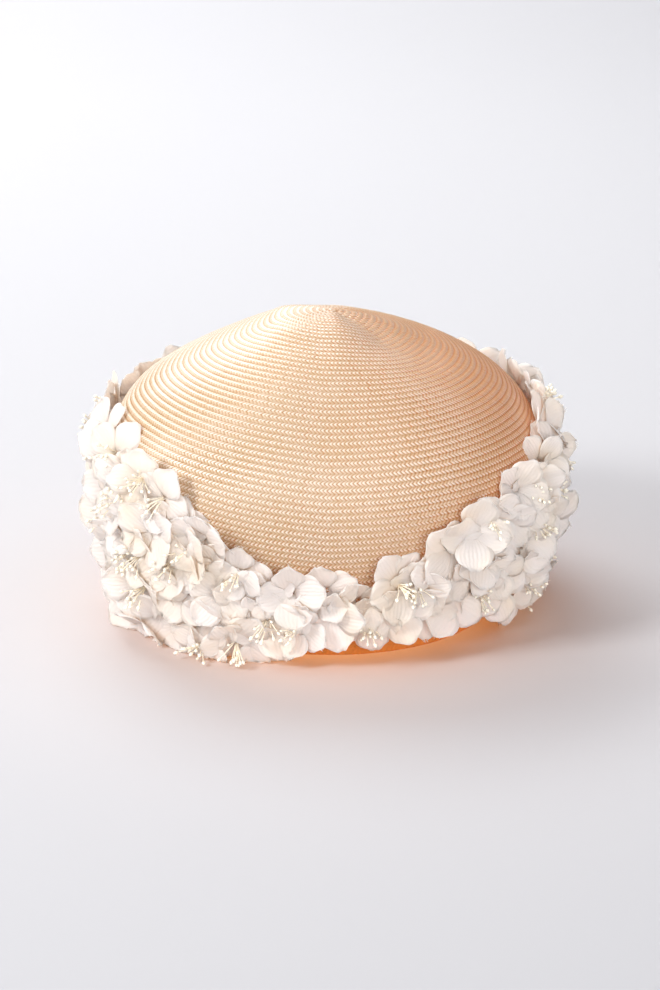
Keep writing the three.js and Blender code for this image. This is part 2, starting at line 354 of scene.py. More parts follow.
@dataclass
class CrownForm:
    """The outside of the blocked straw, in millimetres, by heading and section.

    Heading 0 is +X and section 0 is the tip. The photographed front is at heading -90 degrees.
    """

    height: float = 163.0
    reach_left: float = 118.5
    reach_right: float = 113.0
    reach_front: float = 107.0
    reach_back: float = 122.5
    tip_x: float = 2.0
    tip_y: float = -7.5
    tip_half_width: float = 27.5
    tip_front_depth: float = 31.0
    tip_back_depth: float = 22.0
    tip_squareness: float = 0.42
    rim_squareness: float = 0.92
    oval_from_section: float = 8.0
    corner_drop: float = 6.0
    back_corner_drop: float = 2.8
    corner_drop_sections: float = 6.5
    plateau_sections: float = 2.0
    wall: float = 1.6
    rim_width: float = 3.0
    shift_x: float = 0.0
    shift_y: float = 0.0
    box_headings: int = 721
    box_sections: int = 141
    turn_step: float = 0.012  # radians
    section_step: float = 0.03
    first_section: float = 0.02
    halvings: int = 30

    def __post_init__(self) -> None:
        """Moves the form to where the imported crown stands."""
        table = np.array(SECTIONS)
        self.last = len(SECTIONS) - 1
        self.columns = {name: table[:, number] for number, name in enumerate(Section._fields)}
        low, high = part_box("crown")
        heading, section = np.meshgrid(np.linspace(-math.pi, math.pi, self.box_headings),
                                       np.linspace(0, self.last, self.box_sections))
        own = self.points(heading, section).reshape(-1, 3)
        middle = (own.min(axis=0) + own.max(axis=0)) / 2
        self.shift_x = (low[0] + high[0]) / 2 / MM - middle[0]
        self.shift_y = (low[1] + high[1]) / 2 / MM - middle[1]

    def value(self, name: str, section: Array) -> Array:
        """Reads a column of the section table on a smooth curve.

        Args:
            name: the column's name.
            section: fractional section numbers.

        Returns:
            The column's value at each section.
        """
        column = self.columns[name]
        ends = [2 * column[0] - column[1]], [2 * column[-1] - column[-2]]
        padded = np.concatenate([ends[0], column, ends[1]])
        start = np.clip(np.floor(section).astype(int), 0, self.last - 1)
        share = section - start
        before, here, there, after = (padded[start + step] for step in range(4))
        square = 2 * before - 5 * here + 4 * there - after
        cube = 3 * here - before - 3 * there + after
        return (2 * here + (there - before) * share + square * share ** 2 + cube * share ** 3) / 2

    def points(self, heading: Array | float, section: Array | float) -> Array:
        """Gives points on the straw's outside.

        Args:
            heading: angles in radians.
            section: fractional section numbers, of the same shape.

        Returns:
            Places in millimetres, with a last axis of three.
        """
        heading, section = np.broadcast_arrays(np.asarray(heading, float),
                                               np.asarray(section, float))
        across, along = np.cos(heading), np.sin(heading)
        to_right, to_front = across >= 0, along < 0
        reach_x = np.where(to_right, self.value("right", section) * self.reach_right,
                           self.value("left", section) * self.reach_left)
        reach_y = np.where(to_front, self.value("front", section) * self.reach_front,
                           self.value("back", section) * self.reach_back)
        height_x = np.where(to_right, self.value("right_z", section),
                            self.value("left_z", section))
        height_y = np.where(to_front, self.value("front_z", section),
                            self.value("back_z", section))
        plateau = np.minimum(section / self.plateau_sections, 1.0)
        core_x = self.tip_half_width * plateau
        core_y = np.where(to_front, self.tip_front_depth, self.tip_back_depth) * plateau
        run = (reach_x - core_x) * across ** 2 + (reach_y - core_y) * along ** 2
        oval = smooth_step((section - self.oval_from_section)
                           / (self.last - self.oval_from_section))
        power = self.tip_squareness + (self.rim_squareness - self.tip_squareness) * oval
        square_x = np.sign(across) * np.abs(across) ** power
        square_y = np.sign(along) * np.abs(along) ** power
        fade = 1 - smooth_step((section - self.plateau_sections) / self.corner_drop_sections)
        drop = (self.corner_drop * smooth_step(-square_y)
                + self.back_corner_drop * smooth_step(square_y))
        sag = drop * smooth_step(square_x) * plateau * fade
        x = self.tip_x + core_x * square_x + run * across + self.shift_x
        y = self.tip_y + core_y * square_y + run * along + self.shift_y
        z = self.height * (height_x * across ** 2 + height_y * along ** 2) - sag
        return np.stack([x, y, z], axis=-1)

    def frames(self, heading: Array, section: Array) -> tuple[Array, Array, Array]:
        """Gives the straw's own directions at points on it.

        Args:
            heading: angles in radians.
            section: fractional section numbers, of the same shape.

        Returns:
            Unit vectors along the row, down the crown and out of the straw.
        """
        high = np.minimum(section + self.section_step, self.last)
        low = np.maximum(section - self.section_step, self.first_section)
        along = unit(self.points(heading + self.turn_step, section)
                     - self.points(heading - self.turn_step, section))
        down = self.points(heading, high) - self.points(heading, low)
        down = unit(down - along * np.sum(down * along, axis=-1, keepdims=True))
        return along, down, unit(np.cross(down, along))

    def section_at_height(self, heading: Array, height: Array) -> Array:
        """Finds the section where the outside stands at a height.

        Args:
            heading: angles in radians.
            height: heights in millimetres.

        Returns:
            Fractional section numbers.
        """
        upper = np.zeros_like(heading)
        lower = np.full_like(heading, float(self.last))
        for _ in range(self.halvings):
            middle = (upper + lower) / 2
            above = self.points(heading, middle)[..., 2] > height
            upper = np.where(above, middle, upper)
            lower = np.where(above, lower, middle)
        return (upper + lower) / 2


@dataclass(frozen=True)
class PlaitedStraw:
    """Natural sisal straw, split, plaited and blocked with steam, with a light stiffening varnish.

    The varnish gives each rounded strand its own small highlight, and the pale fibre lets some
    light through, which warms the gaps. A painted highlight makes each strand's crest paler than
    its edges, which are darkened with painted shade, and a painted orange glow, for light come
    through the plait into the petals' shade, turns the last rows over the paper orange.
    """

    name: str = "plaited_sisal_straw"
    # painted highlight: a near-white colour on each strand's crest that stands in for glints
    painted_highlight: str = "#FFFAEC"
    pale: str = "#E7DBC1"
    tan: str = "#D7C29B"
    # painted shade: a darker colour at each strand's sides and ends, where it dips into the gaps
    # and under its neighbours
    edge: str = "#AF814A"
    # painted glow and shade: the deep orange of the lowest rows, for light come through the plait
    # while the petals shade them outside
    painted_backlight: str = "#DE9449"
    glow: str = "#F0AC66"
    roughness: float = 0.3
    ior: float = 1.5
    varnish: float = 0.35
    varnish_roughness: float = 0.2
    painted_backlight_mm: float = 13.0
    see_through: float = 0.25
    patch_mm: float = 30.0
    strand_mm: float = 2.2
    strand_weight: float = 1.4
    tone_low: float = 0.8
    tone_high: float = 1.6
    end_shade: float = 0.55
    crest_top: float = 0.95
    painted_highlight_narrowness: float = 1.5
    painted_highlight_shortness: float = 5.0

    def material(self) -> Material:
        """Builds the straw's node material.

        Returns:
            The material.
        """
        material, tree = new_material(self.name)
        place = object_places(tree)
        patches = mottle(tree, place, self.patch_mm, 2.0)
        strands = mottle(tree, place, self.strand_mm)
        both = sum_of(tree, "MULTIPLY_ADD", strands, self.strand_weight, patches)
        share = share_between(tree, both, self.tone_low, self.tone_high)
        tone = mixed_colour(tree, share, self.tan, self.pale)
        sides = add_node(tree, "SeparateXYZ", None, {0: own_places(tree)}).outputs
        # painted shade: the edge colour is mixed in towards each strand's sides and, weighted by
        # end_shade, towards its ends
        aside = sum_of(tree, "POWER", sum_of(tree, "ABSOLUTE", sides["X"]), 2.0)
        ahead = sum_of(tree, "POWER", sum_of(tree, "ABSOLUTE", sides["Y"]), 4.0)
        ends = sum_of(tree, "MULTIPLY", ahead, self.end_shade)
        rim = sum_of(tree, "MAXIMUM", aside, ends, clamp=True)
        colour = mixed_colour(tree, rim, tone, self.edge)
        # painted highlight: mixes the near-white colour into a small spot round each strand's
        # middle
        wide = sum_of(tree, "MULTIPLY", aside, self.painted_highlight_narrowness)
        squared = sum_of(tree, "MULTIPLY", sides["Y"], sides["Y"])
        long = sum_of(tree, "MULTIPLY", squared, self.painted_highlight_shortness)
        outside = sum_of(tree, "ADD", wide, long)
        painted_highlight_share = sum_of(tree, "SUBTRACT", self.crest_top, outside, clamp=True)
        with_painted_highlight = mixed_colour(tree, painted_highlight_share, colour, self.painted_highlight)
        # painted glow and shade: the orange comes in from twice the set height down to the set
        # height above the paper, and stays below it
        height = add_node(tree, "SeparateXYZ", None, {0: place}).outputs["Z"]
        painted_backlight_share = share_between(tree, height, self.painted_backlight_mm * MM * 2, self.painted_backlight_mm * MM)
        with_painted_backlight = mixed_colour(tree, painted_backlight_share, with_painted_highlight, self.painted_backlight)
        body = add_node(tree, "BsdfPrincipled",
                        {"Roughness": self.roughness, "IOR": self.ior, "Coat Weight": self.varnish,
                         "Coat Roughness": self.varnish_roughness},
                        {"Base Color": with_painted_backlight})
        join_thin(tree, body, self.glow, self.see_through)
        return material


@dataclass(frozen=True)
class StrawGround:
    """The plait's under strands, in the upper ones' painted shade and glow, and the hat's bare
    inside.
    """

    name: str = "straw_under_strands"
    # painted shade and glow: both colours are darker and more orange than the upper strands' own
    tan: str = "#D79A5E"
    brown: str = "#C07F45"
    glow: str = "#F09A55"
    roughness: float = 0.6
    ior: float = 1.5
    see_through: float = 0.35
    row_mm: float = 3.5
    relief_strength: float = 0.5
    relief_mm: float = 0.4

    def material(self) -> Material:
        """Builds the ground's node material.

        Returns:
            The material.
        """
        material, tree = new_material(self.name)
        grain = mottle(tree, object_places(tree), self.row_mm, 2.0)
        colour = mixed_colour(tree, grain, self.tan, self.brown)
        normal = relief(tree, grain, self.relief_strength, self.relief_mm)
        body = add_node(tree, "BsdfPrincipled", {"Roughness": self.roughness, "IOR": self.ior},
                        {"Base Color": colour, "Normal": normal})
        join_thin(tree, body, self.glow, self.see_through)
        return material


@dataclass(frozen=True)
class PetalCloth:
    """Bleached cotton lawn, stiffened with size, cut and pressed into petals.

    The thin cloth glows where light comes from behind it. Its crossed threads show as a fine
    tooth on the lit side, and the pressing leaves faint pleats from the neck to the edge. Where
    petals crowd together a warm tan is painted in: painted shade and painted straw-coloured
    bounce light in the crevices between them.
    """

    name: str = "sized_cotton_lawn"
    white: str = "#FCFBFB"
    cream: str = "#F9F2E6"
    # painted shade and bounce light: the warm tan mixed into the crevices between crowded petals
    painted_crevice_warmth: str = "#E6BF8E"
    glow: str = "#FFFCF8"
    roughness: float = 0.7
    ior: float = 1.45
    fuzz: float = 0.1
    fuzz_roughness: float = 0.5
    see_through: float = 0.45
    patch_mm: float = 22.0
    cream_low: float = 0.42
    cream_high: float = 0.75
    depth_mm: float = 5.0
    crevice_shade_start: float = 0.45
    crevice_shade_full: float = 0.05
    crevice_shade_share: float = 0.6
    pleat_mm: float = 2.4
    pleat_weight: float = 2.5
    thread_mm: float = 0.7  # the real threads are 0.25 mm apart, too fine to show: drawn coarser
    relief_strength: float = 0.6
    relief_mm: float = 0.13

    def material(self) -> Material:
        """Builds the petals' node material.

        Returns:
            The material.
        """
        material, tree = new_material(self.name)
        cloth = own_places(tree)
        warmth = mottle(tree, object_places(tree), self.patch_mm)
        share = share_between(tree, warmth, self.cream_low, self.cream_high)
        colour = mixed_colour(tree, share, self.white, self.cream)
        # painted shade and bounce light: ambient occlusion over the set distance mixes the warm
        # tan into crevices
        crevice_occlusion = add_node(tree, "AmbientOcclusion",
                            {"samples": 4, "Distance": self.depth_mm * MM}).outputs["AO"]
        depth = share_between(tree, crevice_occlusion, self.crevice_shade_start, self.crevice_shade_full,
                              self.crevice_shade_share)
        shaded = mixed_colour(tree, depth, colour, self.painted_crevice_warmth)
        threads = [stripes(tree, cloth, self.thread_mm, axis, 1.2, 1.0, 0.4) for axis in "XY"]
        crossed = sum_of(tree, "ADD", *threads)
        pleats = stripes(tree, cloth, self.pleat_mm, "X", 3.0, 2.0, 0.6)
        height = sum_of(tree, "MULTIPLY_ADD", pleats, self.pleat_weight, crossed)
        normal = relief(tree, height, self.relief_strength, self.relief_mm)
        body = add_node(tree, "BsdfPrincipled",
                        {"Roughness": self.roughness, "IOR": self.ior, "Sheen Weight": self.fuzz,
                         "Sheen Roughness": self.fuzz_roughness},
                        {"Base Color": shaded, "Normal": normal})
        join_thin(tree, body, self.glow, self.see_through)
        return material


@dataclass(frozen=True)
class StamenWax:
    """Cotton thread dipped in wax for the filaments, or pearl lacquer over starch for the heads.

    Both catch a soft highlight, and a faint yellow mottle keeps them warmer than the petals.
    """

    name: str
    colour: str
    roughness: float
    coat: float
    coat_roughness: float = 0.2
    yellow: str = "#E9D9B4"
    ior: float = 1.45
    mottle_mm: float = 3.0

    def material(self) -> Material:
        """Builds the stamens' node material.

        Returns:
            The material.
        """
        material, tree = new_material(self.name)
        patches = mottle(tree, object_places(tree), self.mottle_mm)
        share = share_between(tree, patches, 0.5, 0.9, 0.5)
        colour = mixed_colour(tree, share, self.colour, self.yellow)
        body = add_node(tree, "BsdfPrincipled",
                        {"Roughness": self.roughness, "IOR": self.ior, "Coat Weight": self.coat,
                         "Coat Roughness": self.coat_roughness},
                        {"Base Color": colour})
        join_output(tree, body.outputs["BSDF"])
        return material


@dataclass(frozen=True)
class StudioPaper:
    """Matt pale background paper, which takes soft shadows without a shine of its own."""

    name: str = "matt_background_paper"
    colour: str = "#B6B6B9"
    roughness: float = 0.9
    shine: float = 0.1

    def material(self) -> Material:
        """Builds the paper's node material.

        Returns:
            The material.
        """
        material, tree = new_material(self.name)
        body = add_node(tree, "BsdfPrincipled",
                        {"Base Color": linear_colour(self.colour), "Roughness": self.roughness,
                         "Specular IOR Level": self.shine})
        join_output(tree, body.outputs["BSDF"])
        return material


class RowSet(Enum):
    """Which rows of the plait a piece holds; the two sets keep each piece light."""

    ODD = 1
    EVEN = 0


class StrandStation(NamedTuple):
    """A place along one strand of the plait, from the top of its row to the bottom."""

    drop: float  # share of the row pitch, from the middle of the row
    lean: float  # share of the stitch, from the apex
    lift: float  # millimetres over the straw's outside
    width: float  # share of the stitch


STRAND_STATIONS = (
    StrandStation(-0.60, 1.20, -0.20, 0.56),
    StrandStation(-0.40, 0.84, 0.08, 0.70),
    StrandStation(-0.20, 0.40, 0.27, 0.80),
    StrandStation(0.00, 0.00, 0.34, 0.90),
    StrandStation(0.20, 0.40, 0.27, 0.80),
    StrandStation(0.40, 0.84, 0.08, 0.70),
    StrandStation(0.60, 1.20, -0.20, 0.56),
)


@dataclass
class StrawCrown:
    """The blocked shell with its herringbone plait, made strand by strand."""

    form: CrownForm
    row_pitch: float = 3.5
    rows: int = 66
    even_rows: int = 52
    stitch: float = 2.1
    least_stitches: int = 8
    place_jitter: float = 0.06
    lift_jitter: float = 0.05
    edge_fall: float = 0.38
    # painted highlight: how far the spot moves along the strand at the far left and the far right
    painted_highlight_shift_left: float = 0.42
    painted_highlight_shift_right: float = 0.75
    steps_per_row: int = 8
    headings_per_corner: int = 240
    corner_power: float = 2.6
    section_steps: int = 421
    ground_depth: float = 0.35
    shell_columns: int = 192
    shell_rings: int = 70
    shell_start: float = 0.15
    inside_from_ring: int = 3
    seed: int = 3

    def build(self, straw: Material, ground: Material) -> list[Piece]:
        """Builds the shell and both sets of strands.

        Args:
            straw: the upper strands' finish.
            ground: the shell's finish.

        Returns:
            The three pieces.
        """
        self.dice = np.random.default_rng(self.seed)
        self.lay_rows()
        shell = self.build_shell(ground)
        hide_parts("crown")
        pieces = [shell, *(self.build_strands(row_set, straw) for row_set in RowSet)]
        for piece in pieces:
            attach(piece, "root")
        return pieces

    def lay_rows(self) -> None:
        """Works out the section of every row at headings that crowd towards the axes.

        The crown's corners make places along a row move fastest at the axes, so the headings
        lie closest there.
        """
        share = np.linspace(0, 1, self.headings_per_corner, endpoint=False) ** self.corner_power
        half = share * math.pi / 4
        quarter = np.concatenate([half, math.pi / 2 - np.append(half, math.pi / 4)[:0:-1]])
        turns = [quarter + number * math.pi / 2 - math.pi for number in range(4)]
        self.headings = np.append(np.concatenate(turns), math.pi)
        steps = np.linspace(0, self.form.last, self.section_steps)
        grid = self.form.points(self.headings[:, None], steps[None, :])
        lengths = np.linalg.norm(np.diff(grid, axis=1), axis=-1)
        arcs = np.concatenate([np.zeros((len(lengths), 1)), np.cumsum(lengths, axis=1)], axis=1)
        rows = np.arange(self.rows * self.steps_per_row + 1) / self.steps_per_row
        even = self.even_rows * self.row_pitch
        later = np.maximum(rows - self.even_rows, 0) / (self.rows - self.even_rows)
        wanted = (np.minimum(rows, self.even_rows) * self.row_pitch
                  + later * (arcs[:, -1:] - even))
        self.sections = np.array([np.interp(goal, arc, steps)
                                  for goal, arc in zip(wanted, arcs)])

    def sections_at(self, heading: Array, row: Array) -> Array:
        """Reads the section of fractional rows at headings.

        Args:
            heading: angles in radians.
            row: fractional row numbers, counted from the tip.

        Returns:
            Fractional section numbers.
        """
        across = np.interp(heading, self.headings, np.arange(len(self.headings)))
        along = np.clip(row, 0, self.rows) * self.steps_per_row
        left = np.clip(across.astype(int), 0, len(self.headings) - 2)
        upper = np.clip(along.astype(int), 0, self.sections.shape[1] - 2)
        u, v = across - left, along - upper
        table = self.sections
        return ((1 - u) * ((1 - v) * table[left, upper] + v * table[left, upper + 1])
                + u * ((1 - v) * table[left + 1, upper] + v * table[left + 1, upper + 1]))

    def lay_stitches(self, row_set: RowSet, stations: Array) -> tuple[Array, Array, Array]:
        """Spaces the stitches of every second row evenly round the crown.

        Args:
            row_set: the odd or the even rows.
            stations: the places along one strand.

        Returns:
            The heading and fractional row of each strand's stations, and each strand's stitch.
        """
        headings, rows, stitches = [], [], []
        for row in range(row_set.value, self.rows, len(RowSet)):
            middle_line = self.sections_at(self.headings, row + 0.5)
            ring = self.form.points(self.headings, middle_line)
            steps = np.linalg.norm(np.diff(ring, axis=0), axis=-1)
            run = np.concatenate([[0.0], np.cumsum(steps)])
            count = max(self.least_stitches, round(run[-1] / self.stitch))
            stitch = run[-1] / count
            jitter = self.dice.uniform(-self.place_jitter, self.place_jitter, count)
            middle = (np.arange(count) + self.dice.random() + jitter) * stitch
            places = (middle[:, None] + (stations[None, :, 1] - 0.5) * stitch) % run[-1]
            headings.append(np.interp(places, run, self.headings))
            rows.append(np.broadcast_to(row + 0.5 + stations[None, :, 0], places.shape))
            stitches.append(np.full(count, stitch))
        return np.concatenate(headings), np.concatenate(rows), np.concatenate(stitches)

    def build_strands(self, row_set: RowSet, straw: Material) -> Piece:
        """Builds one bent, rounded strand for each stitch of every second row.

        Args:
            row_set: the odd or the even rows.
            straw: the finish.

        Returns:
            The joined strands.
        """
        stations = np.array(STRAND_STATIONS)
        heading, row, stitch = self.lay_stitches(row_set, stations)
        count, long = len(heading), len(stations)
        section = self.sections_at(heading, row)
        _, _, out = self.form.frames(heading, section)
        jitter = self.dice.uniform(-self.lift_jitter, self.lift_jitter, (count, 1, 1))
        middle = self.form.points(heading, section) + out * (stations[None, :, 2:3] + jitter)
        direction = unit(np.gradient(middle, axis=1))
        across = unit(np.cross(out, direction))
        half_width = stitch[:, None, None] * stations[None, :, 3:4] / 2
        fall = out * self.edge_fall
        points = np.stack([middle - across * half_width - fall, middle,
                           middle + across * half_width - fall], axis=2)
        template = np.array([(3 * i + j, 3 * i + j + 1, 3 * i + j + 4, 3 * i + j + 3)
                             for i in range(long - 1) for j in range(2)])
        # painted highlight: the spot sits on the upper leg at the left and on the lower leg at the
        # right, where the key light from the left gives glints
        rightness = np.cos(heading[:, long // 2])
        painted_highlight = rightness * np.where(rightness > 0, self.painted_highlight_shift_right,
                                     self.painted_highlight_shift_left)
        one = np.array([(side, place) for place in np.linspace(-1, 1, long)
                        for side in (-1.0, 0.0, 1.0)])
        places = np.tile(one, (count, 1))
        places[:, 1] -= np.repeat(painted_highlight, len(one))
        label = row_set.name.lower()
        LOG.info("%s rows: %d strands", label, count)
        return make_mesh(f"straw_strands_{label}", points.reshape(-1, 3),
                         repeated(template, len(one), count), straw, places)

    def build_shell(self, ground: Material) -> Piece:
        """Builds the closed shell under the strands: outside, turned-in rim and inside.

        Args:
            ground: the finish.

        Returns:
            The shell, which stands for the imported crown.
        """
        form = self.form
        headings = np.linspace(-math.pi, math.pi, self.shell_columns, endpoint=False)
        steps = np.linspace(self.shell_start, form.last, self.shell_rings)

        def ring(step: float, depth: float) -> Array:
            """Gives a ring at a depth under the outside.

            Args:
                step: its section.
                depth: millimetres.

            Returns:
                Its points, in millimetres.
            """
            sections = np.full_like(headings, step)
            out = form.frames(headings, sections)[2]
            return form.points(headings, sections) - out * depth

        rings = [ring(step, self.ground_depth * min(1.0, (form.last - step) * 4))
                 for step in steps]
        rim = form.points(headings, np.full_like(headings, float(form.last)))
        inward = unit(np.stack([form.tip_x + form.shift_x - rim[:, 0],
                                form.shift_y - rim[:, 1], np.zeros(len(rim))], axis=-1))
        rings.append(rim + inward * form.rim_width)
        rings += [ring(step, form.wall) for step in steps[-self.inside_from_ring::-1]]
        tip = np.array([[form.tip_x + form.shift_x, form.tip_y + form.shift_y,
                         form.height - self.ground_depth]])
        under = tip - UPWARD * (form.wall - self.ground_depth)
        points = np.concatenate([tip, *rings, under])
        count, last = self.shell_columns, len(points) - 1
        lowest = 1 + (len(rings) - 1) * count
        faces: list[tuple[int, ...]] = []
        for step in range(count):
            after = (step + 1) % count
            faces.append((0, 1 + step, 1 + after))
            faces.append((last, lowest + after, lowest + step))
            for upper in range(1, lowest, count):
                lower = upper + count
                faces.append((upper + step, lower + step, lower + after, upper + after))
        return make_mesh("straw_shell", points, faces, ground)


class LoopHeight(NamedTuple):
    """Heights of the garland's loops at a column, as shares of the crown's height."""

    column: float
    low: float
    mid: float
    top: float


LOOP_HEIGHTS = (
    LoopHeight(0, 0.185, 0.35, 0.46),
    LoopHeight(2, 0.185, 0.35, 0.46),
    LoopHeight(4, 0.16, 0.33, 0.48),
    LoopHeight(6, 0.145, 0.32, 0.49),
    LoopHeight(10, 0.135, 0.32, 0.51),
    LoopHeight(14, 0.135, 0.32, 0.5),
    LoopHeight(16, 0.135, 0.31, 0.48),
    LoopHeight(18, 0.15, 0.31, 0.46),
    LoopHeight(20, 0.185, 0.35, 0.46),
)


class Loop(NamedTuple):
    """One loop of blossoms, by its first and last column of twenty."""

    name: str
    first: float
    last: float


LOOPS = (Loop("low", 0, 19), Loop("mid", 2.5, 17.5), Loop("top", 4, 16))
COLUMNS_ROUND = 20


class BandEdge(NamedTuple):
    """The garland at an angle from the front: its two edges, and how full it stands out."""

    angle: float
    low: float  # millimetres
    high: float  # millimetres
    full: float  # millimetres added under the blossoms near the lower edge


BAND = (
    BandEdge(0, 12, 47, 3), BandEdge(20, 18, 57, 1), BandEdge(34, 18, 70, 2),
    BandEdge(44, 14, 86, 3), BandEdge(60, 9, 96, 6), BandEdge(76, 5, 107, 8),
    BandEdge(90, 4, 112, 8), BandEdge(135, 3, 104, 4), BandEdge(180, 3, 104, 4),
    BandEdge(225, 3, 104, 4), BandEdge(270, 2, 108, 9), BandEdge(285, 1, 108, 13),
    BandEdge(295, 1, 104, 16), BandEdge(303, 1, 100, 17), BandEdge(315, 1, 92, 16),
    BandEdge(332, 2, 66, 10), BandEdge(342, 5, 49, 5), BandEdge(360, 12, 47, 3),
)


def band(name: str, angle: Array | float) -> Array:
    """Reads one measure of the garland's band at angles from the front."""
    return np.interp(angle, [edge.angle for edge in BAND],
                     [getattr(edge, name) for edge in BAND])


@dataclass
class Blossom:
    """One cloth blossom: its foot on the straw, the way it faces and how open it is."""

    foot: Array
    facing: Array
    petals: int
    length: float
    spin: float
    openness: float
    rise: float
    stamens: int
    group: str

    def sides(self) -> tuple[Array, Array]:
        """Gives two unit directions square to the way it faces."""
        side = unit(np.cross(UPWARD, self.facing))
        return side, np.cross(self.facing, side)


@dataclass
class PetalCut:
    """How a petal is cut and pressed: millimetres, degrees and shares of its length.

    A span holds the least and the greatest value that one petal may take.
    """

    rows: int = 8
    columns: int = 8
    width_share: float = 0.5
    neck_share: float = 0.2
    widest: float = 0.6
    tip_share: float = 0.42
    rounding: float = 0.12
    thickness: float = 0.16
    table_gap: float = 0.5
    profile_steps: int = 40
    foot_radius: float = 1.2
    fullness_power: float = 1.2
    bend_power: float = 0.75
    lengths: Span = (0.9, 1.08)
    widths: Span = (0.9, 1.12)
    starts: Span = (26, 54)
    start_opening: float = 12
    end_angle: float = 44
    end_opening: float = 62
    ends: Span = (-20, 20)
    notches: Span = (-0.02, 0.05)
    notch_width: float = 0.25
    cups: Span = (-0.1, 0.22)
    ruffles: Span = (0.15, 0.7)
    ruffle_waves: Span = (1.5, 3.2)
    ruffle_reach: float = 1.4
    puckers: Span = (0.1, 0.5)
    pucker_across: Span = (4, 7)
    pucker_along: Span = (2, 5)
    phases: Span = (0, 6.28)
    curls: Span = (-0.8, 1.6)
    curl_start: float = 0.7
    curl_strength: float = 11
    crease: float = 0.35
    crease_width: float = 0.22
    pleats: Span = (0.0, 0.22)
    pleat_waves: float = 9
    turns: Span = (-0.18, 0.18)


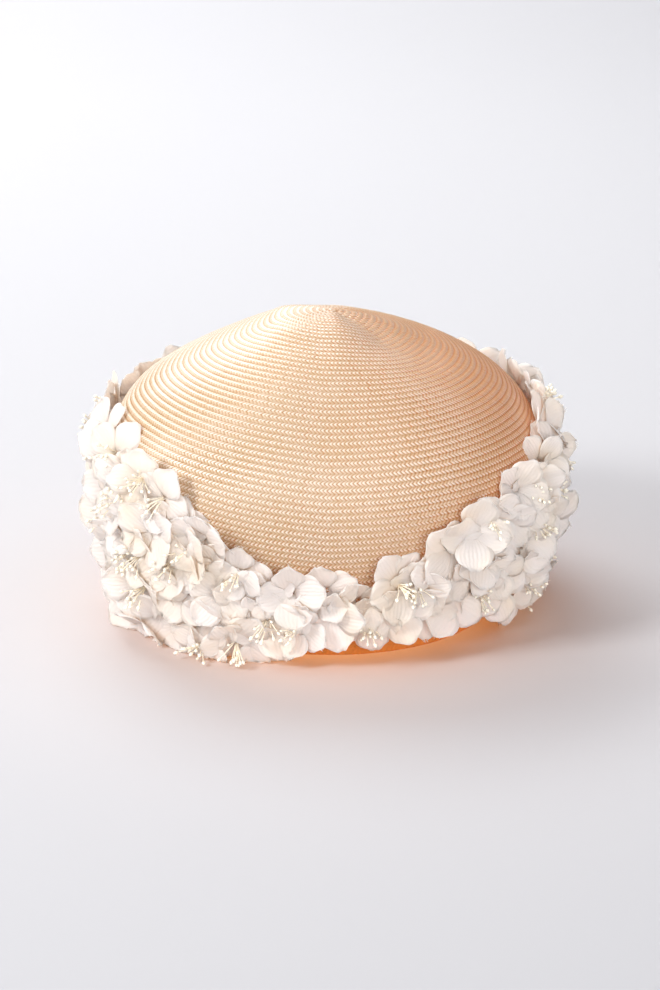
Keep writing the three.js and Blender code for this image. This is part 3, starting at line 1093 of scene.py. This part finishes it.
@dataclass
class Garland:
    """The band of blossoms sewn round the lower half of the hat.

    A span holds the least and the greatest value that one blossom or stamen may take.
    """

    form: CrownForm
    cut: PetalCut
    nodes: tuple[str, ...]
    petal_length: float = 21.0
    filler_spacing: float = 12.0
    filler_tries: int = 6000
    low_margin: float = 8.0
    high_margin: float = 5.0
    forward_lean: float = 0.55
    low_front_lift: float = 0.5
    lift: float = 0.16
    petal_counts: tuple[int, ...] = (4, 4, 5)
    loop_ups: Span = (-0.25, 0.3)
    loop_sides: Span = (-0.35, 0.35)
    loop_lengths: Span = (0.92, 1.1)
    loop_openings: Span = (0.55, 1.0)
    loop_rises: Span = (2.0, 5.0)
    loop_stamens: tuple[int, ...] = (0, 0, 9, 12)
    filler_ups: Span = (-0.3, 0.4)
    filler_sides: Span = (-0.45, 0.45)
    filler_lengths: Span = (0.78, 1.0)
    filler_openings: Span = (0.4, 1.0)
    filler_rises: Span = (1.0, 6.0)
    filler_stamens: tuple[int, ...] = (0, 0, 0, 0, 8, 11)
    filament_radius: float = 0.3
    filament_sides: int = 5
    filament_joints: int = 5
    filament_foot: float = 0.6
    filament_leans: Span = (0.05, 0.65)
    filament_lengths: Span = (10.0, 15.5)
    filament_sags: Span = (0.0, 2.0)
    head_radius: float = 1.05
    head_sizes: Span = (0.8, 1.15)
    head_sides: int = 8
    head_rings: tuple[float, ...] = (0.15, 0.5, 0.85)
    head_long: float = 1.25
    head_foot: float = 1.1
    head_top: float = 1.35
    frayed_share: float = 0.4
    fray_radius: float = 0.11
    fray_root: float = 0.4
    fray_counts: tuple[int, int] = (5, 11)
    fray_strays: Span = (-0.5, 0.5)
    fray_lengths: Span = (0.8, 2.6)
    fray_above_table: float = 4.0
    seed: int = 7

    def build(self, cloth: Material, thread: Material, pearl: Material) -> list[Piece]:
        """Builds all blossoms and their stamens.

        Args:
            cloth: the petals' finish.
            thread: the filaments' finish.
            pearl: the stamen heads' finish.

        Returns:
            The joined pieces.
        """
        self.dice = random.Random(self.seed)
        self.tips: list[tuple[Array, Array]] = []
        blossoms = self.place_loops()
        blossoms += self.place_fillers(blossoms)
        pieces = []
        for group in (*[loop.name for loop in LOOPS], "front_filler", "back_filler"):
            members = [blossom for blossom in blossoms if blossom.group == group]
            LOG.info("%s blossoms: %d", group, len(members))
            piece = self.build_petals(f"petals_{group}", members, cloth)
            if "filler" not in group:
                start = f"blossom_{group}_"
                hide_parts(*[name for name in self.nodes if name.startswith(start)])
            pieces.append(piece)
        pieces += self.build_stamens(blossoms, thread, pearl)
        pieces.append(self.build_fray(cloth))
        for piece in pieces:
            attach(piece, "root")
        return pieces

    def loop_height(self, name: str, column: float) -> float:
        """Gives a loop's height at a column.

        Args:
            name: the loop's name.
            column: the column, which may be a fraction.

        Returns:
            The height in millimetres.
        """
        columns = [row.column for row in LOOP_HEIGHTS]
        values = [getattr(row, name) for row in LOOP_HEIGHTS]
        after = next(number for number, start in enumerate(columns) if start > column)
        before = after - 1
        share = float(smooth_step((column - columns[before])
                                  / (columns[after] - columns[before])))
        return self.form.height * (values[before] + (values[after] - values[before]) * share)

    def seat(self, heading: float, height: float) -> tuple[Array, Array]:
        """Gives the foot and the outward direction at a place on the straw.

        Args:
            heading: the angle in radians.
            height: the height in millimetres.

        Returns:
            The point on the straw and its unit normal.
        """
        angle = np.array([heading])
        section = self.form.section_at_height(angle, np.array([height]))
        return self.form.points(angle, section)[0], self.form.frames(angle, section)[2][0]

    def leaned(self, normal: Array, up: float, side: float) -> Array:
        """Leans a direction up and aside, and a front one forwards.

        Args:
            normal: the unit direction out of the straw.
            up: how far up, as a share of its length.
            side: how far aside, as a share of its length.

        Returns:
            The unit direction that the blossom faces.
        """
        sideways = unit(np.cross(UPWARD, normal))
        forward = self.forward_lean * smooth_step(0.5 - normal[1] * 1.5)
        return unit(normal + np.array([0.0, -forward, up]) + sideways * side)

    def fullness(self, angle: Array | float, height: Array | float) -> Array:
        """Gives how far the blossoms stand out beyond their own rise.

        Args:
            angle: degrees from the front.
            height: millimetres.

        Returns:
            Millimetres, greatest at the garland's lower edge.
        """
        low, high = band("low", angle), band("high", angle)
        return band("full", angle) * (1 - smooth_step((height - low) / (high - low)))

    def place_loops(self) -> list[Blossom]:
        """Places one blossom over each packed blossom.

        Returns:
            The blossoms of the three loops.
        """
        dice = self.dice
        blossoms = []
        for loop in LOOPS:
            for column in np.arange(loop.first, loop.last + 0.5).tolist():
                heading = column / COLUMNS_ROUND * FULL_TURN - math.pi / 2
                height = self.loop_height(loop.name, column)
                foot, normal = self.seat(heading, height)
                full = float(self.fullness(math.degrees(heading) + 90, height))
                low_front = loop.name == "low" and 0 < column < 4
                lift = self.low_front_lift if low_front else self.lift
                up = lift + dice.uniform(*self.loop_ups)
                blossoms.append(Blossom(
                    foot=foot, facing=self.leaned(normal, up, dice.uniform(*self.loop_sides)),
                    petals=dice.choice(self.petal_counts),
                    length=self.petal_length * dice.uniform(*self.loop_lengths),
                    spin=dice.uniform(*ANY_TURN), openness=dice.uniform(*self.loop_openings),
                    rise=dice.uniform(*self.loop_rises) + full,
                    stamens=dice.choice(self.loop_stamens), group=loop.name))
        return blossoms

    def place_fillers(self, placed: list[Blossom]) -> list[Blossom]:
        """Fills the gaps between the loops with smaller blossoms.

        Args:
            placed: the blossoms of the loops.

        Returns:
            The added blossoms.
        """
        dice = self.dice
        angles = np.array([dice.uniform(0, 360) for _ in range(self.filler_tries)])
        shares = np.array([dice.random() for _ in range(self.filler_tries)])
        low = band("low", angles) + self.low_margin
        high = band("high", angles) - self.high_margin
        headings = np.radians(angles - 90)
        sections = self.form.section_at_height(headings, low + (high - low) * shares)
        feet = self.form.points(headings, sections)
        normals = self.form.frames(headings, sections)[2]
        rises = self.fullness(angles, feet[:, 2])
        taken = [blossom.foot for blossom in placed]
        added = []
        for foot, normal, full in zip(feet, normals, rises):
            if np.min(np.linalg.norm(np.array(taken) - foot, axis=1)) < self.filler_spacing:
                continue
            taken.append(foot)
            up, side = dice.uniform(*self.filler_ups), dice.uniform(*self.filler_sides)
            added.append(Blossom(
                foot=foot, facing=self.leaned(normal, up, side),
                petals=dice.choice(self.petal_counts),
                length=self.petal_length * dice.uniform(*self.filler_lengths),
                spin=dice.uniform(*ANY_TURN), openness=dice.uniform(*self.filler_openings),
                rise=dice.uniform(*self.filler_rises) + full,
                stamens=dice.choice(self.filler_stamens),
                group="front_filler" if foot[1] < 0 else "back_filler"))
        return added

    def pressed(self, lengthwise: Array, crosswise: Array, width: float) -> Array:
        """Gives how far a petal's points stand off its smooth bend: cup, ruffle, curl and crease.

        Args:
            lengthwise: shares from the neck to the tip.
            crosswise: shares from the middle to the edges.
            width: the petal's half width.

        Returns:
            Millimetres for each point.
        """
        dice, cut = self.dice, self.cut
        cup = dice.uniform(*cut.cups) * width * crosswise ** 2 * lengthwise
        ruffle = dice.uniform(*cut.ruffles) * lengthwise ** 2 * np.sin(
            dice.uniform(*cut.ruffle_waves) * math.pi * crosswise / cut.ruffle_reach
            + dice.uniform(*cut.phases))
        pucker = dice.uniform(*cut.puckers) * lengthwise * np.sin(
            dice.uniform(*cut.pucker_across) * crosswise
            + dice.uniform(*cut.pucker_along) * lengthwise + dice.uniform(*cut.phases))
        curl = (dice.uniform(*cut.curls) * np.maximum(lengthwise - cut.curl_start, 0) ** 2
                * cut.curl_strength)
        middle = np.exp(-(crosswise / cut.crease_width) ** 2)
        crease = -cut.crease * middle * np.sin(lengthwise * math.pi)
        pleats = (dice.uniform(*cut.pleats) * lengthwise
                  * np.cos(crosswise * cut.pleat_waves + dice.uniform(*cut.phases)))
        return cup + ruffle + pucker + curl + crease + pleats

    def petal_points(self, blossom: Blossom, number: int) -> Array:
        """Shapes one petal in the shared frame.

        Args:
            blossom: the blossom that it belongs to.
            number: which of its petals.

        Returns:
            The upper and then the lower grid of points, in millimetres.
        """
        dice, cut = self.dice, self.cut
        lengthwise = np.linspace(0, 1, cut.rows)[:, None]
        crosswise = np.linspace(-1, 1, cut.columns)[None, :]
        length = blossom.length * dice.uniform(*cut.lengths)
        width = length * cut.width_share * dice.uniform(*cut.widths)
        start = math.radians(dice.uniform(*cut.starts) - cut.start_opening * blossom.openness)
        end = math.radians(cut.end_angle - cut.end_opening * blossom.openness
                           + dice.uniform(*cut.ends))
        fine = np.linspace(0, 1, cut.profile_steps)
        pitch = start + (end - start) * fine ** cut.bend_power
        step = length / (cut.profile_steps - 1)
        radial = np.concatenate([[0], np.cumsum(np.cos(pitch[1:]) * step)]) + cut.foot_radius
        raised = np.concatenate([[0], np.cumsum(np.sin(pitch[1:]) * step)]) + blossom.rise
        notch = (dice.uniform(*cut.notches) * np.exp(-(crosswise / cut.notch_width) ** 2)
                 * lengthwise ** 4)
        place = lengthwise * (1 - cut.rounding * crosswise ** 2) - notch
        rising = (np.sin(np.minimum(lengthwise / cut.widest, 1) * math.pi / 2)
                  ** cut.fullness_power)
        falling = np.maximum(lengthwise - cut.widest, 0) / (1 - cut.widest)
        spread = ((cut.neck_share + (1 - cut.neck_share) * rising)
                  * np.sqrt(1 - falling ** 2 * (1 - cut.tip_share ** 2)))
        across = crosswise * width * spread
        off = self.pressed(lengthwise, crosswise, width)
        slope = np.interp(place, fine, pitch)
        rho = np.interp(place, fine, radial) - np.sin(slope) * off
        high = np.interp(place, fine, raised) + np.cos(slope) * off
        turn = (blossom.spin + number * FULL_TURN / blossom.petals
                + dice.uniform(*cut.turns))
        side, up = blossom.sides()
        outward = side * math.cos(turn) + up * math.sin(turn)
        sideways = -side * math.sin(turn) + up * math.cos(turn)
        middle = (blossom.foot + rho[..., None] * outward + across[..., None] * sideways
                  + high[..., None] * blossom.facing)
        middle[..., 2] = np.maximum(middle[..., 2], cut.table_gap)
        normal = unit(np.cross(np.gradient(middle, axis=0), np.gradient(middle, axis=1)))
        shell = normal * cut.thickness / 2
        return np.concatenate([(middle + shell).reshape(-1, 3),
                               (middle - shell).reshape(-1, 3)])

    def petal_faces(self) -> Array:
        """Lists the quads of one petal.

        Returns:
            Those of the upper and lower side, and then those of the cut edge.
        """
        rows, columns = self.cut.rows, self.cut.columns
        below = rows * columns
        faces = []
        for i in range(rows - 1):
            for a in range(i * columns, (i + 1) * columns - 1):
                b, c, d = a + 1, a + columns + 1, a + columns
                faces.append((a, d, c, b))
                faces.append((below + a, below + b, below + c, below + d))
        edge = [*range(columns), *range(2 * columns - 1, below, columns),
                *range(below - 2, below - columns - 1, -1),
                *range(below - 2 * columns, 0, -columns)]
        for here, there in zip(edge, edge[1:] + edge[:1]):
            faces.append((here, there, below + there, below + here))
        return np.array(faces)

    def build_petals(self, name: str, blossoms: list[Blossom], cloth: Material) -> Piece:
        """Joins the petals of a group of blossoms into one piece.

        Args:
            name: the piece's name.
            blossoms: the group.
            cloth: the finish.

        Returns:
            The joined petals.
        """
        rows, columns = self.cut.rows, self.cut.columns
        upper = rows * columns
        grids = [self.petal_points(blossom, number)
                 for blossom in blossoms for number in range(blossom.petals)]
        self.tips += [(grid[upper - 2 * columns:upper - columns], grid[upper - columns:upper])
                      for grid in grids]
        template = self.petal_faces()
        half_width = self.petal_length * self.cut.width_share
        lengthwise, crosswise = np.meshgrid(np.linspace(0, self.petal_length, rows),
                                            np.linspace(-half_width, half_width, columns),
                                            indexing="ij")
        one = np.stack([crosswise.ravel(), lengthwise.ravel()], axis=-1)
        both_sides = 2 * (rows - 1) * (columns - 1)
        return make_mesh(name, np.concatenate(grids),
                         repeated(template, 2 * upper, len(grids)), cloth,
                         np.tile(one, (2 * len(grids), 1)),
                         np.tile(np.arange(len(template)) >= both_sides, len(grids)))

    def build_stamens(self, blossoms: list[Blossom], thread: Material,
                      pearl: Material) -> list[Piece]:
        """Builds the filaments and their heads.

        Args:
            blossoms: all blossoms.
            thread: the filaments' finish.
            pearl: the heads' finish.

        Returns:
            The joined filaments and the joined heads.
        """
        dice, sides, joints = self.dice, self.filament_sides, self.filament_joints
        turns = np.linspace(0, FULL_TURN, sides, endpoint=False)
        share = np.linspace(0, 1, joints)[:, None]
        stems, heads = [], []
        for blossom in blossoms:
            side, up = blossom.sides()
            for _ in range(blossom.stamens):
                turn, lean = dice.uniform(*ANY_TURN), dice.uniform(*self.filament_leans)
                outward = side * math.cos(turn) + up * math.sin(turn)
                length = dice.uniform(*self.filament_lengths)
                rise = blossom.rise + share * length * math.cos(lean)
                spread = self.filament_foot + share ** 1.5 * length * math.sin(lean)
                path = (blossom.foot + blossom.facing * rise + outward * spread
                        - UPWARD * share ** 2 * dice.uniform(*self.filament_sags))
                path[:, 2] = np.maximum(path[:, 2], 2 * self.head_radius)
                direction = unit(path[-1] - path[-2])
                ring = ring_round(direction, SLANT, turns)
                stems.append((path[:, None, :] + ring[None] * self.filament_radius)
                             .reshape(-1, 3))
                heads.append(self.head_points(path[-1], direction))
        return [self.join("stamen_threads", stems, tube_faces(joints, sides), thread),
                self.join("stamen_heads", heads, self.head_faces(), pearl)]

    def build_fray(self, cloth: Material) -> Piece:
        """Builds the loose threads at some petals' cut edges.

        Args:
            cloth: the petals' finish.

        Returns:
            The joined threads.
        """
        dice = self.dice
        turns = np.array([0.0, 2.1, 4.2])
        steps = (0.0, 0.5, 1.0)
        threads = []
        for before, edge in self.tips:
            if dice.random() > self.frayed_share:
                continue
            for _ in range(dice.randint(*self.fray_counts)):
                corner, share = divmod(dice.uniform(0.0, len(edge) - 1.001), 1)
                start, inside = (row[int(corner)] * (1 - share) + row[int(corner) + 1] * share
                                 for row in (edge, before))
                stray = np.array([dice.uniform(*self.fray_strays) for _ in range(3)])
                aim = unit(unit(start - inside) + stray)
                bend = unit(np.cross(aim, BEND_SLANT)) * dice.uniform(*self.fray_strays)
                length = dice.uniform(*self.fray_lengths)
                if start[2] < self.fray_above_table:
                    continue
                ring = ring_round(aim, SLANT, turns) * self.fray_radius
                threads.append(np.concatenate([
                    start + aim * (step * (length + self.fray_root) - self.fray_root)
                    + bend * step ** 2 + ring for step in steps]))
        return self.join("frayed_threads", threads, tube_faces(len(steps), len(turns)), cloth)

    def head_points(self, centre: Array, direction: Array) -> Array:
        """Shapes one drop-shaped stamen head on the end of its filament.

        Args:
            centre: the filament's end.
            direction: the unit direction that it ends in.

        Returns:
            The foot, the rings and the top of the head, in millimetres.
        """
        turns = np.linspace(0, FULL_TURN, self.head_sides, endpoint=False)
        radius = self.head_radius * self.dice.uniform(*self.head_sizes)
        ring = ring_round(direction, SLANT, turns)
        rows = [centre[None] - direction * radius * self.head_foot]
        for share in self.head_rings:
            angle = share * math.pi
            rows.append(centre + ring * radius * math.sin(angle)
                        - direction * radius * self.head_long * math.cos(angle))
        rows.append(centre[None] + direction * radius * self.head_top)
        return np.concatenate(rows)

    def head_faces(self) -> list[tuple[int, ...]]:
        """Lists the faces of one stamen head.

        Returns:
            Its triangles and quads.
        """
        sides, rings = self.head_sides, len(self.head_rings)
        last = 1 + (rings - 1) * sides
        faces: list[tuple[int, ...]] = []
        for here in range(1, 1 + sides):
            after = here % sides + 1
            faces.append((0, after, here))
            for ring in range(0, last - 1, sides):
                faces.append((ring + here, ring + after, ring + sides + after,
                              ring + sides + here))
            faces.append((last - 1 + here, last - 1 + after, last + sides))
        return faces

    def join(self, name: str, parts: list[Array], template: list[tuple[int, ...]],
             material: Material) -> Piece:
        """Joins many small parts of one make into a piece.

        Args:
            name: the piece's name.
            parts: each part's points, in millimetres.
            template: the faces of one part.
            material: the finish.

        Returns:
            The piece.
        """
        size = len(parts[0])
        faces = [tuple(corner + size * number for corner in face)
                 for number in range(len(parts)) for face in template]
        return make_mesh(name, np.concatenate(parts), faces, material)


class LightsOn(Enum):
    """What a lamp falls on, as its flags and grids allow."""

    EVERYTHING = "everything"
    HAT = "hat"
    STRAW = "straw"
    BLOSSOMS = "blossoms"
    PAPER = "paper"


class Softbox(NamedTuple):
    """A rectangular softbox, in metres and watts."""

    name: str
    place: Place
    target: Place
    size: tuple[float, float]
    watts: float
    lights: LightsOn


class StrawGlow(NamedTuple):
    """Warm light that has come through the loose plait, in metres, watts and linear colour."""

    name: str
    place: Place
    watts: float
    colour: Place
    lights: LightsOn


HAT_MIDDLE = (0.0, 0.0, 0.06)
SOFTBOXES = (
    Softbox("key_softbox", (-1.75, -1.0, 1.4), HAT_MIDDLE, (0.7, 0.7), 48.0, LightsOn.EVERYTHING),
    Softbox("back_softbox", (-0.4, 1.2, 1.5), HAT_MIDDLE, (1.2, 0.8), 15.0, LightsOn.EVERYTHING),
    Softbox("backdrop_softbox", (-1.1, 2.1, 2.0), (-0.3, 1.6, 0.0), (2.0, 1.0), 36.0,
            LightsOn.EVERYTHING),
    Softbox("front_softbox", (0.9, -2.5, 0.8), HAT_MIDDLE, (1.4, 0.9), 34.0, LightsOn.HAT),
    Softbox("blossom_fill", (-0.1, -2.4, 0.9), HAT_MIDDLE, (1.6, 1.6), 16.0, LightsOn.BLOSSOMS),
    Softbox("table_softbox", (0.2, 0.15, 1.1), (0.1, -0.05, 0.0), (1.1, 0.9), 3.6,
            LightsOn.PAPER),
)
STRAW_GLOWS = (
    StrawGlow("glow_on_the_paper", (0.0, -0.03, 0.045), 0.78, (1.0, 0.39, 0.12), LightsOn.PAPER),
    StrawGlow("glow_in_the_straw", (0.05, -0.02, 0.07), 0.11, (1.0, 0.66, 0.32), LightsOn.STRAW),
)


@dataclass
class Studio:
    """The paper sweep, the lights and the camera."""

    elevation: float = 19.0
    distance: float = 1.5
    target_height: float = 0.085
    right_px: float = 2.0
    up_px: float = 53.1
    millimetres_per_pixel: float = 0.55
    frame_height_px: int = 990
    sensor_height: float = 36.0
    nearest: float = 0.05
    sweep_front: float = -3000.0
    sweep_half_width: float = 4000.0
    sweep_radius: float = 1500.0
    sweep_top: float = 4500.0
    sweep_steps: int = 16
    glow_radius: float = 0.03
    room_colour: str = "#F4F3F6"
    room_strength: float = 0.52
    bounces: int = 8

    def build(self, form: CrownForm, paper: Material) -> Piece:
        """Builds the camera and the sweep.

        Args:
            form: the crown, which the camera aims at.
            paper: the sweep's finish.

        Returns:
            The sweep.
        """
        self.build_camera(form)
        return self.build_sweep(paper)

    def build_sweep(self, paper: Material) -> Piece:
        """Builds the floor that curves up into the backdrop.

        Args:
            paper: the finish.

        Returns:
            The sweep, which isn't part of the hat.
        """
        radius, side = self.sweep_radius, self.sweep_half_width
        profile = [(self.sweep_front, 0.0), (radius, 0.0)]
        for step in range(1, self.sweep_steps + 1):
            angle = step / self.sweep_steps * math.pi / 2
            profile.append((radius + radius * math.sin(angle), radius * (1 - math.cos(angle))))
        profile.append((2 * radius, self.sweep_top))
        points = [(x, y, z) for y, z in profile for x in (-side, side)]
        faces = [(base - 2, base - 1, base + 1, base) for base in range(2, len(points), 2)]
        sweep = make_mesh("paper_sweep", np.array(points), faces, paper)
        return sweep

    def build_camera(self, form: CrownForm) -> None:
        """Sets the camera to the photograph's view.

        Args:
            form: the crown, which the camera aims at.
        """
        tilt = math.radians(self.elevation)
        focal_px = self.distance / (self.millimetres_per_pixel * MM)
        target = Vector((form.shift_x * MM, form.shift_y * MM, self.target_height))
        back = Vector((0.0, -math.cos(tilt), math.sin(tilt)))
        up = Vector((0.0, math.sin(tilt), math.cos(tilt)))
        forward = (-back + Vector((1, 0, 0)) * (self.right_px / focal_px)
                   - up * (self.up_px / focal_px))
        lens = bpy.data.cameras.new("camera")
        lens.sensor_fit = "VERTICAL"
        lens.sensor_height = self.sensor_height
        lens.lens = focal_px * self.sensor_height / self.frame_height_px
        lens.clip_start = self.nearest
        camera = bpy.data.objects.new("camera", lens)
        camera.location = target + back * self.distance
        camera.rotation_euler = forward.to_track_quat("-Z", "Y").to_euler()
        bpy.context.scene.collection.objects.link(camera)
        bpy.context.scene.camera = camera

    def add_lamp(self, name: str, kind: str, place: Place,
                 watts: float) -> bpy.types.Object:
        """Adds a lamp that emits from a place.

        Args:
            name: the lamp's name.
            kind: its Blender type.
            place: its middle, in metres.
            watts: its power.

        Returns:
            The lamp's object.
        """
        light = bpy.data.lights.new(name, kind)
        light.energy = watts
        lamp = bpy.data.objects.new(name, light)
        lamp.location = place
        bpy.context.scene.collection.objects.link(lamp)
        return lamp

    def light_only(self, lamp: bpy.types.Object, pieces: Sequence[Piece]) -> None:
        """Lets a lamp fall on some pieces alone, as a flag or a grid would.

        Args:
            lamp: the lamp.
            pieces: what it falls on.
        """
        lit = bpy.data.collections.new(f"{lamp.name}_receivers")
        for piece in pieces:
            lit.objects.link(piece)
        lamp.light_linking.receiver_collection = lit

    def add_softbox(self, softbox: Softbox, pieces: Sequence[Piece] | None) -> None:
        """Adds a softbox.

        Args:
            softbox: what it is like and where it stands.
            pieces: what it falls on, or nothing where it falls on everything.
        """
        lamp = self.add_lamp(softbox.name, "AREA", softbox.place, softbox.watts)
        lamp.data.shape = "RECTANGLE"
        lamp.data.size, lamp.data.size_y = softbox.size
        aim = Vector(softbox.target) - Vector(softbox.place)
        lamp.rotation_euler = aim.to_track_quat("-Z", "Y").to_euler()
        if pieces is not None:
            self.light_only(lamp, pieces)

    def add_straw_glow(self, glow: StrawGlow, pieces: Sequence[Piece],
                       hat: Sequence[Piece]) -> None:
        """Adds warm light that has come through the loose plait.

        The shell that stands for the plait is closed, so this light starts inside the hat,
        isn't stopped by it and falls on the named pieces alone.

        Args:
            glow: what it is like and where it starts.
            pieces: what it falls on.
            hat: the pieces that don't stop it.
        """
        lamp = self.add_lamp(glow.name, "POINT", glow.place, glow.watts)
        lamp.data.color = glow.colour
        lamp.data.shadow_soft_size = self.glow_radius
        self.light_only(lamp, pieces)
        passed = bpy.data.collections.new(f"{glow.name}_passes")
        lamp.light_linking.blocker_collection = passed
        for piece in hat:
            passed.objects.link(piece)
        for entry in passed.collection_objects:
            entry.light_linking.link_state = "EXCLUDE"

    def build_lights(self, sweep: Piece, hat: Sequence[Piece]) -> None:
        """Adds the softboxes, the straw's glow and the room's own light.

        Args:
            sweep: the paper.
            hat: all pieces of the hat.
        """
        straw = [piece for piece in hat if piece.name.startswith("straw")]
        groups = {LightsOn.HAT: hat, LightsOn.STRAW: straw, LightsOn.PAPER: [sweep],
                  LightsOn.BLOSSOMS: [piece for piece in hat if piece not in straw]}
        for softbox in SOFTBOXES:
            self.add_softbox(softbox, groups.get(softbox.lights))
        for glow in STRAW_GLOWS:
            self.add_straw_glow(glow, groups[glow.lights], hat)
        scene = bpy.context.scene
        scene.world = bpy.data.worlds.new("room")
        scene.world.use_nodes = True
        tree = scene.world.node_tree
        tree.nodes.clear()
        room = add_node(tree, "Background", {"Color": linear_colour(self.room_colour),
                                             "Strength": self.room_strength})
        add_node(tree, "OutputWorld", None, {"Surface": room.outputs["Background"]})
        scene.cycles.diffuse_bounces = self.bounces
        scene.view_settings.view_transform = "Standard"
        scene.view_settings.look = "None"


def main() -> None:
    """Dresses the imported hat."""
    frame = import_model()
    form = CrownForm()
    studio = Studio()
    sweep = studio.build(form, StudioPaper().material())
    pieces = StrawCrown(form).build(PlaitedStraw().material(), StrawGround().material())
    garland = Garland(form, PetalCut(), nodes=tuple(frame["nodes"]))
    thread = StamenWax("waxed_cotton_thread", "#F6EDD8", 0.5, 0.0).material()
    pearl = StamenWax("pearl_lacquer", "#F1EBDB", 0.28, 0.6).material()
    pieces += garland.build(PetalCloth().material(), thread, pearl)
    for piece in pieces:
        LOG.info("built %s", piece.name)
    studio.build_lights(sweep, pieces)


if __name__ == "__main__":
    logging.basicConfig(level=logging.INFO)
    main()
